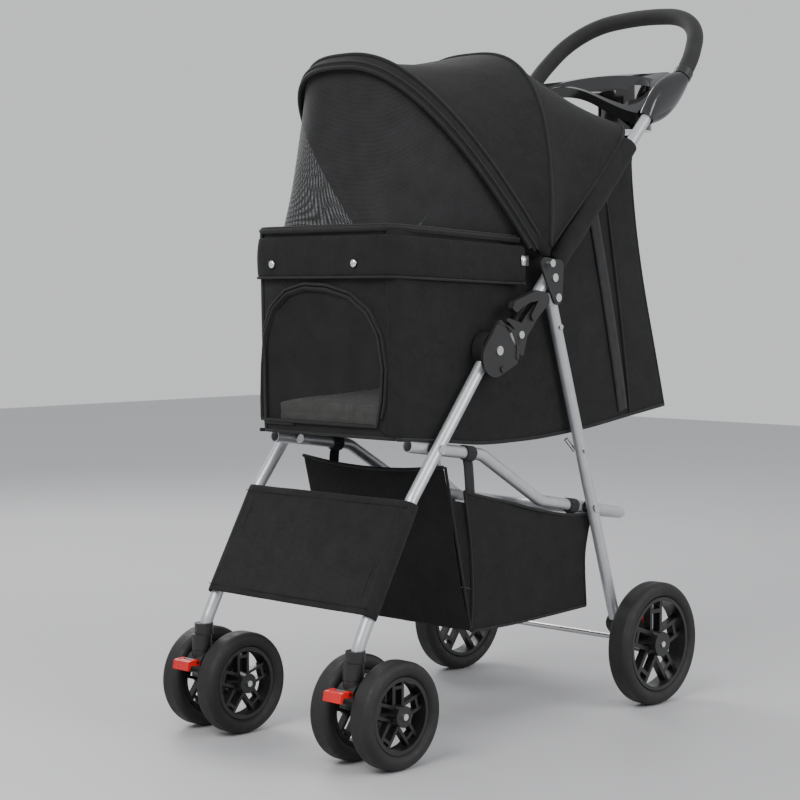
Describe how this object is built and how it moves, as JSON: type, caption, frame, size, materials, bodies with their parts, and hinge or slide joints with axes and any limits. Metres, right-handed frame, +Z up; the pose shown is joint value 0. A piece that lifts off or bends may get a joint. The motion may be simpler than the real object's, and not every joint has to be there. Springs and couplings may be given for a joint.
{
  "type": "pet stroller",
  "caption": "Folding pet stroller: steel tube frame on wheels, soft zip cabin with arched hood and mesh window, lower basket, foam handle and cup tray.",
  "frame": {"origin": "on the floor, under the middle of the stroller's bounding box", "axes": "+X to the stroller's left side, -Y the way it rolls, +Z up"},
  "size_m": [0.4, 0.8048, 0.9971],
  "materials": {
    "grey_tube": "satin grey powder coat",
    "bright_steel": "zinc plated",
    "black_fabric": "woven polyester",
    "black_mesh": "open mesh",
    "black_foam": "closed-cell foam",
    "gloss_black_plastic": "gloss",
    "mat_fleece": "soft pile",
    "board": "fabric-covered board",
    "tyre": "matte",
    "red_plastic": "semi-gloss",
    "black_plastic": "fine texture"
  },
  "bodies": {
    "front_frame": {"front_leg_left": "grey_tube", "front_leg_right": "grey_tube", "front_frame_pins": "bright_steel", "latch_lower_covers": "black_plastic", "caster_sockets": "black_plastic", "footrest_panel": "black_fabric", "cabin_bag": "black_fabric", "front_door": "black_mesh", "rim_bar": "bright_steel"},
    "upper_frame": {"upper_tube_left": "grey_tube", "upper_tube_right": "grey_tube", "hinge_plates": "bright_steel", "latch_upper_covers": "black_plastic", "side_brackets": "black_plastic", "upper_frame_rivets": "bright_steel", "handle_bow": "grey_tube", "handle_grip": "black_foam", "handle_collars": "black_plastic", "parent_tray": "gloss_black_plastic", "hood_rear_panel": "black_fabric"},
    "hood_middle": {"middle_bow": "bright_steel"},
    "hood_front": {"front_bow": "bright_steel", "hood_front_panel": "black_fabric", "hood_window": "black_mesh"},
    "rear_frame": {"rear_leg_left": "grey_tube", "rear_leg_right": "grey_tube", "rear_frame_pins": "bright_steel", "rear_axle": "bright_steel", "brake_housings": "black_plastic", "floor_bar_ends": "bright_steel", "rear_leg_bolts": "bright_steel"},
    "link_frame": {"link_tube": "grey_tube", "link_spacers": "black_plastic", "basket": "black_fabric", "basket_straps": "black_fabric"},
    "floor_panel": {"floor_board": "board", "mat": "mat_fleece"},
    "latch_trigger_left": {"latch_trigger_left": "black_plastic"},
    "latch_trigger_right": {"latch_trigger_right": "black_plastic"},
    "caster_left": {"caster_fork_left": "black_plastic", "caster_axle_left": "bright_steel"},
    "swivel_lock_left": {"swivel_lock_left": "red_plastic"},
    "front_wheel_left_outer": {"front_tyre_left_outer": "tyre", "front_rim_left_outer": "black_plastic"},
    "front_wheel_left_inner": {"front_tyre_left_inner": "tyre", "front_rim_left_inner": "black_plastic"},
    "caster_right": {"caster_fork_right": "black_plastic", "caster_axle_right": "bright_steel"},
    "swivel_lock_right": {"swivel_lock_right": "red_plastic"},
    "front_wheel_right_outer": {"front_tyre_right_outer": "tyre", "front_rim_right_outer": "black_plastic"},
    "front_wheel_right_inner": {"front_tyre_right_inner": "tyre", "front_rim_right_inner": "black_plastic"},
    "rear_wheel_left": {"rear_tyre_left": "tyre", "rear_rim_left": "black_plastic"},
    "brake_pedal_left": {"brake_pedal_left": "red_plastic"},
    "rear_wheel_right": {"rear_tyre_right": "tyre", "rear_rim_right": "black_plastic"},
    "brake_pedal_right": {"brake_pedal_right": "red_plastic"}
  },
  "joints": [
    {"name": "frame_fold", "type": "hinge", "parent": "front_frame", "child": "upper_frame", "pos_m": [0, -0.1235, 0.498], "axis": [1, 0, 0], "range_deg": [0, 180], "deforming": ["cabin_bag", "front_door", "rim_bar", "hood_window", "hood_front_panel", "hood_rear_panel", "basket_straps"]},
    {"name": "rear_leg_hinge", "type": "hinge", "parent": "upper_frame", "child": "rear_frame", "pos_m": [0, -0.0005, 0.565], "axis": [1, 0, 0], "range_deg": [-61.5, 0]},
    {"name": "link_hinge", "type": "hinge", "parent": "front_frame", "child": "link_frame", "pos_m": [0, -0.2207, 0.377], "axis": [1, 0, 0], "range_deg": [0, 74]},
    {"name": "floor_hinge", "type": "hinge", "parent": "front_frame", "child": "floor_panel", "pos_m": [0, -0.2207, 0.377], "axis": [1, 0, 0], "range_deg": [0, 57]},
    {"name": "middle_bow_hinge", "type": "hinge", "parent": "upper_frame", "child": "hood_middle", "pos_m": [0, -0.0225, 0.61], "axis": [1, 0, 0], "range_deg": [-42.5, 0]},
    {"name": "front_bow_hinge", "type": "hinge", "parent": "hood_middle", "child": "hood_front", "pos_m": [0, -0.0225, 0.61], "axis": [1, 0, 0], "range_deg": [-39.4, 0]},
    {"name": "latch_slide_left", "type": "slide", "parent": "upper_frame", "child": "latch_trigger_left", "axis": [0, 0.698, 0.716], "range_m": [0, 0.01], "stiffness_N_per_m": 400, "springref_m": -0.004},
    {"name": "latch_slide_right", "type": "slide", "parent": "upper_frame", "child": "latch_trigger_right", "axis": [0, 0.698, 0.716], "range_m": [0, 0.01], "stiffness_N_per_m": 400, "springref_m": -0.004},
    {"name": "caster_swivel_left", "type": "hinge", "parent": "front_frame", "child": "caster_left", "pos_m": [0.139, -0.3695, 0.115], "axis": [0, 0, 1], "continuous": true},
    {"name": "swivel_lock_lever_left", "type": "hinge", "parent": "caster_left", "child": "swivel_lock_left", "pos_m": [0.139, -0.3895, 0.0965], "axis": [1, 0, 0], "range_deg": [0, 20]},
    {"name": "front_wheel_spin_left_outer", "type": "hinge", "parent": "caster_left", "child": "front_wheel_left_outer", "pos_m": [0.173, -0.3325, 0.066], "axis": [1, 0, 0], "continuous": true},
    {"name": "front_wheel_spin_left_inner", "type": "hinge", "parent": "caster_left", "child": "front_wheel_left_inner", "pos_m": [0.105, -0.3325, 0.066], "axis": [1, 0, 0], "continuous": true},
    {"name": "caster_swivel_right", "type": "hinge", "parent": "front_frame", "child": "caster_right", "pos_m": [-0.139, -0.3695, 0.115], "axis": [0, 0, 1], "continuous": true},
    {"name": "swivel_lock_lever_right", "type": "hinge", "parent": "caster_right", "child": "swivel_lock_right", "pos_m": [-0.139, -0.3895, 0.0965], "axis": [1, 0, 0], "range_deg": [0, 20]},
    {"name": "front_wheel_spin_right_outer", "type": "hinge", "parent": "caster_right", "child": "front_wheel_right_outer", "pos_m": [-0.173, -0.3325, 0.066], "axis": [1, 0, 0], "continuous": true},
    {"name": "front_wheel_spin_right_inner", "type": "hinge", "parent": "caster_right", "child": "front_wheel_right_inner", "pos_m": [-0.105, -0.3325, 0.066], "axis": [1, 0, 0], "continuous": true},
    {"name": "rear_wheel_spin_left", "type": "hinge", "parent": "rear_frame", "child": "rear_wheel_left", "pos_m": [0.181, 0.1775, 0.085], "axis": [1, 0, 0], "continuous": true},
    {"name": "brake_pedal_tilt_left", "type": "hinge", "parent": "rear_frame", "child": "brake_pedal_left", "pos_m": [0.148, 0.187, 0.112], "axis": [1, 0, 0], "range_deg": [-20, 0]},
    {"name": "rear_wheel_spin_right", "type": "hinge", "parent": "rear_frame", "child": "rear_wheel_right", "pos_m": [-0.181, 0.1775, 0.085], "axis": [1, 0, 0], "continuous": true},
    {"name": "brake_pedal_tilt_right", "type": "hinge", "parent": "rear_frame", "child": "brake_pedal_right", "pos_m": [-0.148, 0.187, 0.112], "axis": [1, 0, 0], "range_deg": [-20, 0]}
  ],
  "couplings": [
    {"joint": "rear_leg_hinge", "follows": "frame_fold", "ratio": -0.341},
    {"joint": "link_hinge", "follows": "frame_fold", "ratio": 0.41},
    {"joint": "floor_hinge", "follows": "frame_fold", "ratio": 0.315},
    {"joint": "middle_bow_hinge", "follows": "frame_fold", "ratio": -0.2361},
    {"joint": "front_bow_hinge", "follows": "frame_fold", "ratio": -0.2188}
  ]
}
